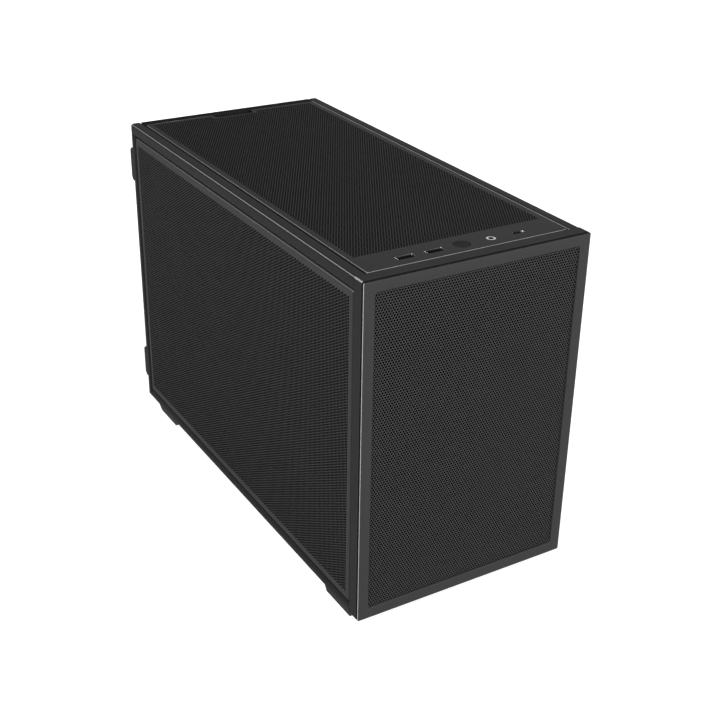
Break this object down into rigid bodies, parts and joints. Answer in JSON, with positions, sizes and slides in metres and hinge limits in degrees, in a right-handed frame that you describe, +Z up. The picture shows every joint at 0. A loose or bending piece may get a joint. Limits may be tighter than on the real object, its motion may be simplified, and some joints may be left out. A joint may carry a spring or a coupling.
{
  "type": "mini tower pc case",
  "caption": "Small black computer case with perforated side, top and front panels, four low feet and a row of sockets with a power button in the top.",
  "frame": {"origin": "on the floor plane, below the middle of the whole part", "axes": "+X to the right as seen from the front, +Y to the back, +Z up"},
  "size_m": [0.167, 0.3626, 0.247],
  "materials": {
    "frame_paint": "satin",
    "front_paint": "satin",
    "panel_paint": "satin",
    "filter_cloth": "matte",
    "foot_plastic": "matte",
    "pad_rubber": "matte",
    "hook_steel": "satin",
    "catch_plastic": "matte",
    "screw_steel": "satin",
    "inlet_plastic": "satin",
    "pin_brass": "satin",
    "board_laminate": "satin",
    "port_steel": "satin",
    "ring_chrome": "polished",
    "port_plastic": "matte",
    "button_plastic": "satin"
  },
  "bodies": {
    "chassis": {"base_filter": "filter_cloth", "base_tray": "frame_paint", "button_guide": "port_plastic", "foot_front_left": "foot_plastic", "foot_front_right": "foot_plastic", "foot_pads": "pad_rubber", "foot_rear_left": "foot_plastic", "foot_rear_right": "foot_plastic", "foot_screws": "screw_steel", "front_chassis": "frame_paint", "front_panel_catches": "catch_plastic", "io_board": "board_laminate", "io_bracket": "frame_paint", "jack_body": "port_plastic", "jack_ring": "ring_chrome", "left_panel_catches": "catch_plastic", "main_board_tray": "frame_paint", "mains_inlet": "inlet_plastic", "mains_inlet_pins": "pin_brass", "mains_inlet_screws": "screw_steel", "push_switch": "port_plastic", "rear_tabs": "frame_paint", "rear_wall": "frame_paint", "right_panel_catches": "catch_plastic", "side_frame_left": "frame_paint", "side_frame_right": "frame_paint", "slot_cover_1": "frame_paint", "slot_cover_2": "frame_paint", "slot_cover_3": "frame_paint", "slot_cover_screws": "screw_steel", "slot_pan": "frame_paint", "standoffs": "pin_brass", "supply_bracket": "frame_paint", "top_panel_catches": "catch_plastic", "usb_a_shell_inner": "port_steel", "usb_a_shell_outer": "port_steel", "usb_a_tongues": "port_plastic", "usb_c_shell": "port_steel", "usb_c_tongue": "port_plastic"},
    "front_panel": {"front_frame": "front_paint", "front_mesh": "front_paint", "front_panel_hooks": "hook_steel", "front_filter": "filter_cloth"},
    "left_side_panel": {"left_panel": "panel_paint", "left_panel_hooks": "hook_steel", "left_filter": "filter_cloth"},
    "right_side_panel": {"right_panel": "panel_paint", "right_panel_hooks": "hook_steel", "right_filter": "filter_cloth"},
    "top_cover": {"top_panel": "panel_paint", "top_panel_hooks": "hook_steel", "top_filter": "filter_cloth"},
    "button": {"power_button": "button_plastic", "switch_plunger": "port_plastic"}
  },
  "joints": [
    {"name": "front_panel_pull", "type": "slide", "parent": "chassis", "child": "front_panel", "axis": [0, -1, 0], "range_m": [0, 0.04]},
    {"name": "left_panel_pull", "type": "slide", "parent": "chassis", "child": "left_side_panel", "axis": [-1, 0, 0], "range_m": [0, 0.06]},
    {"name": "right_panel_pull", "type": "slide", "parent": "chassis", "child": "right_side_panel", "axis": [1, 0, 0], "range_m": [0, 0.06]},
    {"name": "top_panel_lift", "type": "slide", "parent": "chassis", "child": "top_cover", "axis": [0, 0, 1], "range_m": [0, 0.04]},
    {"name": "power_button_press", "type": "slide", "parent": "chassis", "child": "button", "axis": [0, 0, -1], "range_m": [0, 0.001], "stiffness_N_per_m": 400, "springref_m": -0.002}
  ]
}
